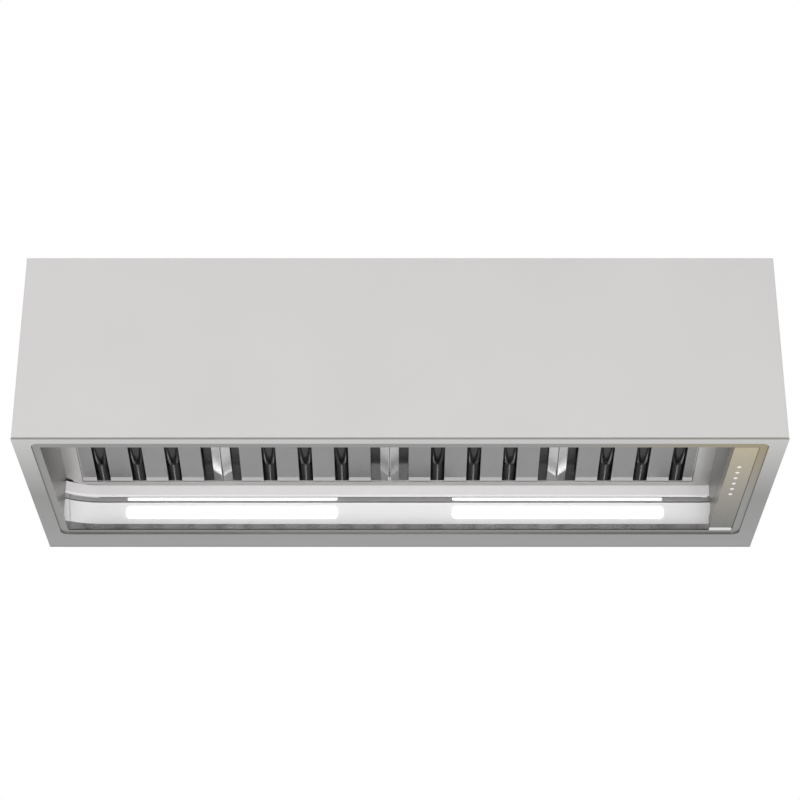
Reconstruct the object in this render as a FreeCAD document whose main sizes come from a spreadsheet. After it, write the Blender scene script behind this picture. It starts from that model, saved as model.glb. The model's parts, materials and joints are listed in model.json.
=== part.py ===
import FreeCAD, Part
import math
import os
import re

import Sketcher

# Undermount range hood, in millimetres.
# X runs across the hood, -Y is the front, Z is up, and the origin is the middle of the lowest face.

SIZES = {
    # Casing and rear panel
    "hood_width": 900,
    "hood_depth": 300,
    "hood_height": 246,
    "casing_wall": 1.2,
    "fold_radius": 2,
    "panel_inset": 2,
    "bead_length": 760,
    "bead_width": 16,
    "bead_rise": 1.2,
    "hanging_span_x": 700,
    "hanging_span_y": 200,
    "hanging_radius": 3.2,
    # Underside frame
    "frame_sheet": 1.5,
    "shadow_gap": 1,
    "front_rail": 11,
    "side_rail": 20.5,
    "rear_rail": 38,
    "step_rise": 2,
    "step_radius": 9,
    "front_flange": 13,
    "side_flange": 9.5,
    "rear_flange": 9,
    "lip_height": 10.5,
    # Filter deck and filter bank
    "deck_sheet": 1.2,
    "deck_upstand": 16.2,
    "deck_gap": 0.3,
    "filter_height": 54.7,
    "filter_tilt": 10.1,
    "filter_thickness": 14,
    "filter_sheet": 0.8,
    "front_margin": 10,
    "swing_gap": 1.5,
    "side_gap": 0.5,
    "hinge_gap": 0.3,
    "surround_side": 20,
    "surround_rear": 9.4,
    "fold_width": 12,
    "fold_rear": 6,
    "fold_drop": 1.2,
    "mitre_gap": 0.5,
    "left_trim": 33,
    "right_trim": 38,
    "seam_zone": 30,
    "baffle_width": 27.5,
    "baffle_leg": 6.5,
    "baffle_bend": 5,
    "baffle_lip": 2,
    "lip_gap": 1.5,
    "border_width": 9.4,
    "rail_width": 11,
    "rail_level": 2.5,
    "rail_slope": 4,
    "cover_width": 26,
    "arch_width": 26,
    "arch_foot": 4,
    "arch_radius": 13.9,
    # Bail handles of the filters
    "handle_wire": 1.6,
    "handle_span": 56,
    "handle_drop": 24,
    "handle_bend": 5,
    "handle_place": 130,
    "pin_fit": 0.08,
    "lug_thickness": 1.6,
    "lug_depth": 7,
    "lug_pivot": 4,
    # Light bar, light panel and strip lights
    "light_depth": 25,
    "light_sheet": 1.2,
    "corner_radius": 70,
    "bar_lean": 6,
    "bar_bend_height": 40,
    "bar_bend_radius": 5,
    "shelf_depth": 13,
    "shelf_fall": 2,
    "panel_gap": 0.7,
    "panel_setback": 7,
    "panel_bend_height": 13.9,
    "panel_seam": 30.8,
    "seam_gap": 0.5,
    "lens_length": 267,
    "lens_width": 14,
    "lens_corner": 4,
    "lens_place": 5.4,
    "lens_proud": 0.6,
    "lens_depth": 6,
    "lens_wall": 2,
    "lens_middle": 207,
    "lens_shift": 6.5,
    "lens_gap": 0.1,
    "board_sheet": 1.6,
    "diode_side": 2.8,
    "diode_height": 0.8,
    "diode_pitch": 20,
    "driver_length": 120,
    "driver_depth": 26,
    "driver_height": 22,
    "driver_ear": 12,
    # Control strip
    "strip_width": 28,
    "strip_gap": 1.5,
    "strip_sheet": 1.2,
    "strip_wall": 14,
    "strip_bevel": 4.5,
    "strip_drop": 1.6,
    "strip_end": 3,
    "tab_width": 8,
    "button_radius": 2.4,
    "button_fit": 0.1,
    "button_proud": 0.4,
    "button_pitch": 14.7,
    "button_side": 15.5,
    "button_first": 51,
    "button_collar": 3.5,
    "button_travel": 1,
    "stem_radius": 1.6,
    "guide_sheet": 3,
    "guide_rise": 2.6,
    "guide_width": 20,
    "guide_end": 9,
    "post_side": 4,
    "switch_side": 5,
    "switch_height": 1.7,
    # Blower, motor and wheel
    "blower_y": 0,
    "blower_z": 160,
    "blower_half": 78,
    "blower_sheet": 1.2,
    "wheel_radius": 52,
    "wheel_length": 140,
    "wheel_gap": 5,
    "volute_step": 6,
    "inlet_radius": 45,
    "blade_count": 30,
    "blade_chord": 10,
    "blade_sheet": 0.8,
    "blade_radius": 8,
    "ring_width": 5,
    "hub_radius": 10,
    "hub_length": 24,
    "shaft_radius": 4,
    "shaft_fit": 0.06,
    "motor_radius": 40,
    "motor_length": 72,
    "motor_place": 22,
    "bracket_sheet": 2,
    "bracket_arm": 14,
    # Duct collar and damper
    "collar_radius": 74.5,
    "collar_wall": 1.2,
    "collar_height": 45,
    "collar_flange": 15,
    "stop_height": 9,
    "stop_width": 2.8,
    "damper_height": 12.5,
    "damper_pin_radius": 1.5,
    "knuckle_radius": 3,
    "knuckle_length": 20,
    "flap_sheet": 1,
    "flap_drop": 1.9,
    "flap_gap": 1.2,
    "flap_seam": 3.6,
    # Electrical pieces and fasteners
    "terminal_length": 90,
    "terminal_depth": 60,
    "terminal_height": 38,
    "terminal_x": 300,
    "terminal_y": 60,
    "gland_radius": 9,
    "gland_height": 14,
    "gland_bore": 4,
    "capacitor_radius": 15,
    "capacitor_length": 62,
    "capacitor_x": 250,
    "capacitor_z": 200,
    "screw_head": 3.6,
    "screw_shank": 1.7,
    "screw_rise": 1.6,
    "screw_length": 5,
    "lead_radius": 3,
    "lead_bend": 24,
}

FILTER_COUNT = 4
BUTTON_COUNT = 6

# Expressions that several pieces share
HALF = "(hood_width/2)"
FRONT = "(-hood_depth/2)"
REAR = "(hood_depth/2)"
INNER_X = "(hood_width/2 - casing_wall)"
INNER_FRONT = "(casing_wall - hood_depth/2)"
INNER_TOP = "(hood_height - casing_wall)"
PANEL_BACK = "(hood_depth/2 - panel_inset)"
PANEL_FACE = "(hood_depth/2 - panel_inset - casing_wall)"
CASING_BASE = "(frame_sheet + shadow_gap)"
STEP_X = "(hood_width/2 - side_rail)"
STEP_FRONT = "(front_rail - hood_depth/2)"
STEP_REAR = "(hood_depth/2 - rear_rail)"
OPEN_X = "(hood_width/2 - side_rail - side_flange)"
OPEN_FRONT = "(front_rail + front_flange - hood_depth/2)"
OPEN_REAR = "(hood_depth/2 - rear_rail - rear_flange)"
FLANGE_TOP = "(step_rise + frame_sheet)"
BAR_TOP_Y = f"({OPEN_REAR} - light_depth)"
HINGE_Y = f"({BAR_TOP_Y} - surround_rear)"
FILTER_LENGTH = f"(({HINGE_Y} - {OPEN_FRONT} - front_margin)/cos(filter_tilt))"
STRIP_RIGHT = f"({OPEN_X} - strip_gap)"
STRIP_LEFT = f"({STRIP_RIGHT} - strip_width)"
BANK_LEFT = f"(surround_side - {OPEN_X})"
BANK_RIGHT = f"({STRIP_LEFT} - surround_side - strip_gap)"
BANK_MIDDLE = f"(({BANK_LEFT} - left_trim + {BANK_RIGHT} + right_trim)/2)"
FILTER_PITCH = f"(({BANK_RIGHT} - {BANK_LEFT} + left_trim + right_trim)/{FILTER_COUNT})"
CURVE_X = f"({INNER_X} - corner_radius)"
CURVE_Y = f"({BAR_TOP_Y} - corner_radius)"
COLLAR_INNER = "(collar_radius - collar_wall)"
# Shares of the width at which the rear panel is screwed to the frame
PANEL_SCREWS = (-0.4, -0.15, 0.15, 0.4)
# Shares of the height at which the rear panel has its beads
PANEL_BEADS = (0.3, 0.55, 0.8)
# Thicknesses by which the outer skin of the scroll stands back at its tongue
TONGUE_STEPS = 6

doc = FreeCAD.newDocument("range_hood")
sheet = doc.addObject("Spreadsheet::Sheet", "sizes")
for row, (alias, size) in enumerate(SIZES.items(), start=1):
    sheet.set(f"A{row}", alias)
    sheet.set(f"B{row}", str(size))
    sheet.setAlias(f"B{row}", alias)
doc.recompute()

sub_parts = {}


def full(expression):
    """The expression with each alias written as a reference to the sheet."""
    def refer(word):
        return f"sizes.{word[0]}" if word[0] in SIZES else word[0]

    return re.sub(r"[a-z][a-z_]*", refer, expression)


def value(expression):
    """The number that an expression has now."""
    return float(sheet.evalExpression(str(expression)))


def bind(thing, prop, expression):
    thing.setExpression(prop, full(str(expression)))


def keep(label, thing):
    """Names an object as a sub-part of the hood."""
    thing.Label = label
    sub_parts[label] = thing
    return thing


def rectangle(left, right, low, high):
    return [(left, low), (right, low), (right, high), (left, high)]


def rounded(left, right, low, high, radius):
    """A rectangle whose corners are arcs. A third value is the radius of the arc that starts at a corner."""
    return [
        (f"{left} + {radius}", low), (f"{right} - {radius}", low, radius),
        (right, f"{low} + {radius}"), (right, f"{high} - {radius}", radius),
        (f"{right} - {radius}", high), (f"{left} + {radius}", high, radius),
        (left, f"{high} - {radius}"), (left, f"{low} + {radius}", radius),
    ]


def arc_between(start, end, radius):
    """The short arc from start to end. A positive radius turns left and a negative one turns right."""
    chord = end - start
    middle = (start + end) * 0.5
    bulge = abs(radius) - math.sqrt(max(radius * radius - chord.Length ** 2 / 4, 0))
    side = FreeCAD.Vector(chord.y, -chord.x, 0).normalize()
    crown = middle + side * math.copysign(bulge, radius)
    return Part.Arc(start, crown, end)


def draw_loop(sketch, loop):
    """Draws a closed outline whose corners, and arcs, are bound to expressions."""
    corners = [FreeCAD.Vector(value(corner[0]), value(corner[1]), 0) for corner in loop]
    edges = []
    for place, corner in enumerate(loop):
        start = corners[place]
        end = corners[(place + 1) % len(loop)]
        if len(corner) == 2:
            line = sketch.addGeometry(Part.LineSegment(start, end), False)
            edges.append((line, 1, 2))
            continue
        radius = value(corner[2])
        arc = sketch.addGeometry(arc_between(start, end, radius), False)
        edges.append((arc, 1, 2) if radius > 0 else (arc, 2, 1))
        bound = sketch.addConstraint(Sketcher.Constraint("Radius", arc, abs(radius)))
        name = f"radius_{arc}"
        sketch.renameConstraint(bound, name)
        bind(sketch, f"Constraints.{name}", f"abs({corner[2]})")
    for place, (edge, first, last) in enumerate(edges):
        after, after_first, _ = edges[(place + 1) % len(edges)]
        sketch.addConstraint(Sketcher.Constraint("Coincident", edge, last, after, after_first))
        for kind, number, text in (("DistanceX", corners[place].x, loop[place][0]),
                                   ("DistanceY", corners[place].y, loop[place][1])):
            bound = sketch.addConstraint(Sketcher.Constraint(kind, -1, 1, edge, first, number))
            name = f"{kind}_{edge}"
            sketch.renameConstraint(bound, name)
            bind(sketch, f"Constraints.{name}", text)


def draw_circle(sketch, across, up, radius):
    """Draws a circle whose middle and radius are bound to expressions."""
    middle = FreeCAD.Vector(value(across), value(up), 0)
    circle = sketch.addGeometry(Part.Circle(middle, FreeCAD.Vector(0, 0, 1), value(radius)), False)
    for kind, number, text in (("DistanceX", middle.x, across), ("DistanceY", middle.y, up)):
        bound = sketch.addConstraint(Sketcher.Constraint(kind, -1, 1, circle, 3, number))
        sketch.renameConstraint(bound, f"{kind}_{circle}")
        bind(sketch, f"Constraints.{kind}_{circle}", text)
    bound = sketch.addConstraint(Sketcher.Constraint("Radius", circle, value(radius)))
    sketch.renameConstraint(bound, f"radius_{circle}")
    bind(sketch, f"Constraints.radius_{circle}", radius)


class Piece:
    """A body made of sketched features, in the order in which they are called."""

    def __init__(self, label, many=False):
        self.body = doc.addObject("PartDesign::Body", label)
        self.body.AllowCompound = many
        self.label = label
        self.count = 0

    def origin(self, role):
        return next(item for item in self.body.Origin.OriginFeatures if item.Role == role)

    def sketch(self, plane, offset, loops=(), circles=()):
        """A sketch on a main plane. YZ looks along X, XY along Z, and XZ along -Y."""
        self.count += 1
        made = self.body.newObject("Sketcher::SketchObject", f"{self.label}_sketch_{self.count}")
        made.AttachmentSupport = (self.origin(f"{plane}_Plane"), [""])
        made.MapMode = "FlatFace"
        bind(made, "AttachmentOffset.Base.z", offset)
        for loop in loops:
            draw_loop(made, loop)
        for circle in circles:
            draw_circle(made, *circle)
        return made

    def prism(self, kind, plane, start, end, loops, circles):
        offset = f"-({end})" if plane == "XZ" else start
        profile = self.sketch(plane, offset, loops, circles)
        made = self.body.newObject(f"PartDesign::{kind}", f"{self.label}_{kind.lower()}_{self.count}")
        made.Profile = profile
        bind(made, "Length", f"({end}) - ({start})")
        return made

    def pad(self, plane, start, end, *loops, circles=()):
        """Adds material between two places along the axis that the plane faces."""
        return self.prism("Pad", plane, start, end, loops, circles)

    def pocket(self, plane, start, end, *loops, circles=()):
        """Takes material away between two places along the axis that the plane faces."""
        made = self.prism("Pocket", plane, start, end, loops, circles)
        made.Reversed = True
        return made

    def revolve(self, plane, offset, loop, axis, angle=360, reverse=False):
        """Turns an outline about a line of its own plane, given by two points."""
        profile = self.sketch(plane, offset, [loop])
        ends = [FreeCAD.Vector(value(point[0]), value(point[1]), 0) for point in axis]
        line = profile.addGeometry(Part.LineSegment(*ends), True)
        for place, point in enumerate(axis, start=1):
            for kind, number, text in (("DistanceX", ends[place - 1].x, point[0]),
                                       ("DistanceY", ends[place - 1].y, point[1])):
                bound = profile.addConstraint(Sketcher.Constraint(kind, -1, 1, line, place, number))
                profile.renameConstraint(bound, f"axis_{kind}_{place}")
                bind(profile, f"Constraints.axis_{kind}_{place}", text)
        made = self.body.newObject("PartDesign::Revolution", f"{self.label}_revolution_{self.count}")
        made.Profile = profile
        made.ReferenceAxis = (profile, ["Axis0"])
        made.Angle = angle
        made.Reversed = reverse
        return made

    def row(self, features, axis, step, count):
        """Repeats features in a straight row along an axis of the body."""
        made = self.body.newObject("PartDesign::LinearPattern", f"{self.label}_row_{self.count}")
        made.Originals = features
        made.Direction = (self.origin(f"{axis}_Axis"), [""])
        made.Mode = "Spacing"
        bind(made, "Offset", step)
        made.Occurrences = count
        self.body.Tip = made
        return made

    def ring(self, features, axis, count):
        """Repeats features round an axis of the body."""
        made = self.body.newObject("PartDesign::PolarPattern", f"{self.label}_ring_{self.count}")
        made.Originals = features
        made.Axis = (self.origin(f"{axis}_Axis"), [""])
        made.Angle = 360
        made.Occurrences = count
        self.body.Tip = made
        return made

    def fillet(self, radius, chosen):
        """Rounds the edges that the chosen test accepts."""
        doc.recompute()
        base = self.body.Tip
        names = [f"Edge{place}" for place, edge in enumerate(base.Shape.Edges, start=1) if chosen(edge)]
        made = self.body.newObject("PartDesign::Fillet", f"{self.label}_fillet_{self.count}")
        made.Base = (base, names)
        bind(made, "Radius", radius)
        self.body.Tip = made
        return made

    def place(self, x, y, z, tilt="0"):
        """Sets the body down at a point, turned about X."""
        turn = FreeCAD.Rotation(FreeCAD.Vector(1, 0, 0), value(tilt))
        spot = FreeCAD.Vector(value(x), value(y), value(z))
        self.body.Placement = FreeCAD.Placement(spot, turn)
        for name, text in (("x", x), ("y", y), ("z", z)):
            bind(self.body, f"Placement.Base.{name}", text)
        return self

    def done(self):
        return keep(self.label, self.body)


def box(name, x, y, z):
    """A block between pairs of expressions, for use in a boolean."""
    made = doc.addObject("Part::Box", name)
    for side, axis, pair in (("Length", "x", x), ("Width", "y", y), ("Height", "z", z)):
        bind(made, side, f"({pair[1]}) - ({pair[0]})")
        bind(made, f"Placement.Base.{axis}", pair[0])
    return made


def boolean(kind, name, base, tool):
    made = doc.addObject(f"Part::{kind}", name)
    made.Base = base
    made.Tool = tool
    return made


# Casing and frame


def outer_casing():
    piece = Piece("outer_casing")
    piece.pad("XY", CASING_BASE, "hood_height", [
        (f"-{HALF}", REAR), (f"-{HALF}", f"{FRONT} + fold_radius", "fold_radius"),
        (f"-{HALF} + fold_radius", FRONT), (f"{HALF} - fold_radius", FRONT, "fold_radius"),
        (HALF, f"{FRONT} + fold_radius"), (HALF, REAR),
    ])
    piece.pocket("XY", CASING_BASE, INNER_TOP,
                 rectangle(f"-{INNER_X}", INNER_X, INNER_FRONT, f"{REAR} + panel_inset"))
    holes = [(f"{side}*hanging_span_x/2", f"{end}*hanging_span_y/2", "hanging_radius")
             for side in (-1, 1) for end in (-1, 1)]
    holes.append(("0", "blower_y", COLLAR_INNER))
    holes.append(("terminal_x", "terminal_y", "gland_radius - casing_wall"))
    piece.pocket("XY", INNER_TOP, "hood_height", circles=holes)
    piece.done()


def rear_panel():
    """A flat sheet with long pressed beads that stiffen it."""
    piece = Piece("rear_panel")
    piece.pad("XZ", PANEL_FACE, PANEL_BACK, rectangle(f"-{INNER_X}", INNER_X, "frame_sheet", INNER_TOP),
              circles=[(x, z, "screw_shank") for x, z in panel_screw_places()])
    for share in PANEL_BEADS:
        middle = f"({share}*hood_height)"
        raised, hollow = (
            rounded(f"-bead_length/2 - {grow}", f"bead_length/2 + {grow}",
                    f"{middle} - bead_width/2 - {grow}", f"{middle} + bead_width/2 + {grow}",
                    f"(bead_width/2 + {grow} - pin_fit)")
            for grow in ("bead_rise", "0"))
        piece.pad("XZ", PANEL_BACK, f"{PANEL_BACK} + bead_rise", raised)
        piece.pocket("XZ", PANEL_FACE, f"{PANEL_FACE} + bead_rise", hollow)
    piece.done()


def panel_screw_places():
    """Where the rear panel is screwed to the lip of the frame, as X and Z."""
    return [(f"{share}*hood_width", "frame_sheet + lip_height/2") for share in PANEL_SCREWS]


def underside_frame():
    """The frame has a flat rail, a pressed step with round corners, an inner flange and an upturned lip."""
    piece = Piece("underside_frame")
    step = rounded(f"-{STEP_X}", STEP_X, STEP_FRONT, STEP_REAR, "step_radius")
    above = rounded(f"-{STEP_X} - frame_sheet", f"{STEP_X} + frame_sheet", f"{STEP_FRONT} - frame_sheet",
                    f"{STEP_REAR} + frame_sheet", "(step_radius + frame_sheet)")
    opening = rectangle(f"-{OPEN_X}", OPEN_X, OPEN_FRONT, OPEN_REAR)
    piece.pad("XY", "0", "frame_sheet", rectangle(f"-{HALF}", HALF, FRONT, REAR), step)
    piece.pad("XY", "0", FLANGE_TOP, above, step)
    piece.pad("XY", "step_rise", FLANGE_TOP, above, opening)
    piece.pad("XY", "0", "frame_sheet + lip_height",
              rectangle(f"-{INNER_X}", INNER_X, INNER_FRONT, PANEL_FACE),
              rectangle(f"-{INNER_X} + frame_sheet", f"{INNER_X} - frame_sheet",
                        f"{INNER_FRONT} + frame_sheet", f"{PANEL_FACE} - frame_sheet"))
    piece.pocket("XZ", f"{PANEL_FACE} - frame_sheet", PANEL_FACE,
                 circles=[(x, z, "screw_shank") for x, z in panel_screw_places()])
    piece.done()


def panel_screws():
    piece = Piece("panel_screws", many=True)
    piece.pad("XZ", PANEL_BACK, f"{PANEL_BACK} + screw_rise",
              circles=[(x, z, "screw_head") for x, z in panel_screw_places()])
    piece.pad("XZ", f"{PANEL_BACK} - screw_length", PANEL_BACK,
              circles=[(x, z, "screw_shank - pin_fit") for x, z in panel_screw_places()])
    piece.done()


# Filter bank. Its pieces are drawn level, with the hinge line as origin, and then tilted together.

# A trough reaches behind the baffles on both sides of its slot, so a wider filter has more baffles.
WIDEST_PITCH = "(baffle_width + arch_width - 2*(2*filter_sheet + side_gap))"
BAFFLE_COUNT = math.ceil(value(f"({FILTER_PITCH} - seam_zone)/{WIDEST_PITCH}"))
BAFFLE_PITCH = f"(({FILTER_PITCH} - seam_zone)/{BAFFLE_COUNT})"


def on_slope(piece):
    return piece.place("0", HINGE_Y, "filter_height", "-filter_tilt")


def seam(number):
    """The X place of the seam on the left of a filter, counted from 0."""
    if number == 0:
        return BANK_LEFT
    if number == FILTER_COUNT:
        return BANK_RIGHT
    return f"({BANK_MIDDLE} + ({number} - {FILTER_COUNT}/2)*{FILTER_PITCH})"


def filter_sides(number):
    """The left and right sides of a filter."""
    return f"({seam(number)} + side_gap)", f"({seam(number + 1)} - side_gap)"


def filter_middle(number):
    return f"({BANK_MIDDLE} + ({number} - ({FILTER_COUNT} - 1)/2)*{FILTER_PITCH})"


def handle_middle(number):
    """The middle of a filter's handle, whose two legs hang from neighbouring baffles."""
    return f"({filter_middle(number)} + {BAFFLE_COUNT % 2}*{BAFFLE_PITCH}/2)"


def filter_deck():
    """A tilted sheet with an upstand round the filters, a ledge above them and a mitred fold beside them."""
    piece = Piece("filter_deck")
    rear = f"({PANEL_FACE} - {HINGE_Y} - deck_gap - deck_sheet*sin(filter_tilt))/cos(filter_tilt)"
    front = f"({INNER_FRONT} - {HINGE_Y} + deck_gap)/cos(filter_tilt)"
    bay = (BANK_LEFT, BANK_RIGHT, f"-{FILTER_LENGTH} - swing_gap", "hinge_gap")
    wall = (f"{BANK_LEFT} - deck_sheet", f"{BANK_RIGHT} + deck_sheet",
            f"-{FILTER_LENGTH} - swing_gap - deck_sheet", "hinge_gap + deck_sheet")
    air = []
    for number in range(FILTER_COUNT):
        left, right = filter_sides(number)
        air.append(rectangle(f"{left} + border_width", f"{right} - border_width",
                             f"border_width - {FILTER_LENGTH}", "-border_width"))
    piece.pad("XY", "0", "deck_sheet", rectangle(f"-{INNER_X}", INNER_X, front, rear), rectangle(*bay))
    piece.pad("XY", "0", "deck_upstand", rectangle(*wall), rectangle(*bay))
    piece.pad("XY", "deck_upstand - deck_sheet", "deck_upstand", rectangle(*wall), *air)
    fold_left = f"({BANK_LEFT} - fold_width)"
    fold_right = f"({BANK_RIGHT} + fold_width)"
    fold_end = "(hinge_gap + fold_rear)"
    piece.pad("XY", "-fold_drop", "0", [
        (fold_left, bay[2]), (BANK_LEFT, bay[2]), (BANK_LEFT, "hinge_gap"), (BANK_RIGHT, "hinge_gap"),
        (BANK_RIGHT, bay[2]), (fold_right, bay[2]), (fold_right, fold_end), (fold_left, fold_end),
    ])
    mitres = []
    for inner, outer in ((BANK_LEFT, fold_left), (BANK_RIGHT, fold_right)):
        mitres.append([(f"{inner} - mitre_gap/2", "hinge_gap - mitre_gap"),
                       (f"{inner} + mitre_gap/2", "hinge_gap - mitre_gap"),
                       (f"{outer} + mitre_gap/2", f"{fold_end} + mitre_gap"),
                       (f"{outer} - mitre_gap/2", f"{fold_end} + mitre_gap")])
    piece.pocket("XY", "-fold_drop", "0", *mitres)
    on_slope(piece).done()


def side_liner(name, left, right, base):
    """A side wall of the recess, from the frame or the control strip up to the tilted deck."""
    piece = Piece(f"side_liner_{name}")
    farthest = f"(max(abs({left}); abs({right})) - {CURVE_X})"
    rear = f"({CURVE_Y} + sqrt(corner_radius*corner_radius - {farthest}*{farthest}) - seam_gap)"
    level = f"(filter_height - hinge_gap + {HINGE_Y}*tan(filter_tilt))"
    piece.pad("YZ", left, right, [
        (OPEN_FRONT, base), (rear, base), (rear, f"{level} - {rear}*tan(filter_tilt)"),
        (OPEN_FRONT, f"{level} - {OPEN_FRONT}*tan(filter_tilt)"),
    ])
    piece.done()


def inward(edge, left, width):
    """A span of a given width from one side of a filter towards its middle."""
    return (edge, f"{edge} + {width}") if edge == left else (f"{edge} - {width}", edge)


def filter_frame(number):
    """Channels at the front and rear of a filter, joined by sloping side rails behind the baffles."""
    piece = Piece(f"filter_frame_{number + 1}", many=True)
    left, right = filter_sides(number)
    front = f"-{FILTER_LENGTH}"
    top = ("filter_thickness - filter_sheet", "filter_thickness")
    ends = [("-border_width", "0", "-filter_sheet", "0"),
            (front, f"{front} + border_width", front, f"{front} + filter_sheet")]
    for near, far, wall_near, wall_far in ends:
        piece.pad("YZ", left, right, rectangle(wall_near, wall_far, "0", "filter_thickness"))
        piece.pad("YZ", left, right, rectangle(near, far, *top))
    beside = {left: number > 0, right: number < FILTER_COUNT - 1}
    for edge, inner in beside.items():
        low = "rail_level" if inner else "0"
        piece.pad("XZ", front, "0", rectangle(*inward(edge, left, "filter_sheet"), low, "filter_thickness"))
        if inner:
            span = inward(edge, left, "rail_width")
            lower = [(place, low if place == edge else f"{low} + rail_slope") for place in span]
            upper = [(place, f"{level} + filter_sheet") for place, level in reversed(lower)]
            piece.pad("XZ", front, "0", lower + upper)
            piece.pad("XZ", front, "0", rectangle(*inward(edge, left, "cover_width"), *top))
    on_slope(piece).done()


def front_baffles(number):
    """Channels whose rear ends turn down, with two lugs that carry the bail handle."""
    piece = Piece(f"front_baffles_{number + 1}", many=True)
    left, right = filter_sides(number)
    front = f"filter_sheet - {FILTER_LENGTH}"
    tip = "-filter_sheet - lip_gap"
    bend = f"{tip} - baffle_bend"
    floor = [(front, "0"), (bend, "0"), (tip, "-baffle_lip"), (tip, "filter_sheet - baffle_lip"),
             (bend, "filter_sheet"), (front, "filter_sheet")]
    leg = [(front, "0"), (bend, "0"), (tip, "-baffle_lip"), (tip, "0"), ("-filter_sheet", "0"),
           ("-filter_sheet", "baffle_leg"), (front, "baffle_leg")]
    for place in range(BAFFLE_COUNT):
        middle = f"({filter_middle(number)} + ({place} - ({BAFFLE_COUNT} - 1)/2)*{BAFFLE_PITCH})"
        first = number == 0 and place == 0
        last = number == FILTER_COUNT - 1 and place == BAFFLE_COUNT - 1
        start = f"({left} + filter_sheet)" if first else f"({middle} - baffle_width/2)"
        end = f"({right} - filter_sheet)" if last else f"({middle} + baffle_width/2)"
        piece.pad("YZ", start, end, floor)
        piece.pad("YZ", start, f"{start} + filter_sheet", leg)
        piece.pad("YZ", f"{end} - filter_sheet", end, leg)
    for side in (-1, 1):
        lug = f"({handle_middle(number)} + {side}*(handle_span/2 - handle_bend - lug_thickness))"
        piece.pad("YZ", f"{lug} - lug_thickness/2", f"{lug} + lug_thickness/2",
                  rectangle("-handle_place - lug_pivot", "lug_pivot - handle_place",
                            "-lug_depth", "filter_sheet"))
        piece.pocket("YZ", f"{lug} - lug_thickness", f"{lug} + lug_thickness",
                     circles=[("-handle_place", "-lug_pivot", "handle_wire + pin_fit")])
    on_slope(piece).done()


def rear_baffles(number):
    """Arched troughs that stand behind the slots between the front baffles."""
    piece = Piece(f"rear_baffles_{number + 1}", many=True)
    loops = []
    for place in range(BAFFLE_COUNT - 1):
        middle = f"({filter_middle(number)} + ({place} - ({BAFFLE_COUNT} - 2)/2)*{BAFFLE_PITCH})"
        loops.append([
            (f"{middle} - arch_width/2", "arch_foot"),
            (f"{middle} - arch_width/2 + filter_sheet", "arch_foot", "filter_sheet - arch_radius"),
            (f"{middle} + arch_width/2 - filter_sheet", "arch_foot"),
            (f"{middle} + arch_width/2", "arch_foot", "arch_radius"),
        ])
    piece.pad("XZ", f"filter_sheet - {FILTER_LENGTH}", "-filter_sheet", *loops)
    on_slope(piece).done()


def wire_path(points, radius):
    """A wire of straight runs with tangent arcs at its inner points."""
    corners = [FreeCAD.Vector(*point) for point in points]
    edges = []
    start = corners[0]
    for before, corner, after in zip(corners, corners[1:], corners[2:]):
        back = (before - corner).normalize()
        ahead = (after - corner).normalize()
        half = back.getAngle(ahead) / 2
        reach = radius / math.tan(half)
        crown = corner + (back + ahead).normalize() * (radius / math.sin(half) - radius)
        edges.append(Part.LineSegment(start, corner + back * reach).toShape())
        edges.append(Part.Arc(corner + back * reach, crown, corner + ahead * reach).toShape())
        start = corner + ahead * reach
    edges.append(Part.LineSegment(start, corners[-1]).toShape())
    return Part.Wire(edges)


def tube(label, points, radius, bend):
    """A round wire or lead along straight runs and tangent arcs."""
    path = wire_path(points, bend)
    first = path.Edges[0]
    ahead = first.tangentAt(first.FirstParameter)
    section = Part.Wire(Part.makeCircle(radius, first.Vertexes[0].Point, ahead))
    made = doc.addObject("Part::Feature", label)
    made.Shape = path.makePipeShell([section], True, False)
    return keep(label, made)


def filter_handle(number):
    """A wire bail that hangs from the two lugs of a filter."""
    middle = value(handle_middle(number))
    half = value("handle_span/2")
    inner = half - value("handle_bend + 2*lug_thickness")
    tilt = math.radians(value("filter_tilt"))
    along = -value("handle_place")
    down = -value("lug_pivot")
    y = value(HINGE_Y) + along * math.cos(tilt) + down * math.sin(tilt)
    z = value("filter_height") - along * math.sin(tilt) + down * math.cos(tilt)
    low = z - value("handle_drop")
    points = [(middle - inner, y, z), (middle - half, y, z), (middle - half, y, low),
              (middle + half, y, low), (middle + half, y, z), (middle + inner, y, z)]
    tube(f"filter_handle_{number + 1}", points, value("handle_wire"), value("handle_bend"))


# Light bar, light panel and strip lights

BAR_BEND_Y = f"({BAR_TOP_Y} + bar_lean)"
SHELF_Y = f"({BAR_BEND_Y} + shelf_depth)"
SHELF_Z = "(bar_bend_height - shelf_fall)"
BAR_TOP_Z = f"(filter_height - ({BAR_TOP_Y} + light_sheet - {HINGE_Y})*tan(filter_tilt) - hinge_gap/3)"
PANEL_TOP_Y = f"({SHELF_Y} - seam_gap)"
PANEL_TOP_Z = f"({SHELF_Z} - panel_gap)"
PANEL_LOW_Y = f"({OPEN_REAR} + panel_setback)"
PANEL_SEAM_X = f"({INNER_X} - panel_seam)"


def swept_strip(piece, profile):
    """A strip straight across the hood, whose two ends curve forward to the casing."""
    piece.pad("YZ", f"-{CURVE_X}", CURVE_X, profile)
    axis = [(CURVE_Y, "0"), (CURVE_Y, "1")]
    piece.revolve("YZ", CURVE_X, profile, axis, 90, True)
    piece.revolve("YZ", f"-{CURVE_X}", profile, axis, 90, False)
    return piece


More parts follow.
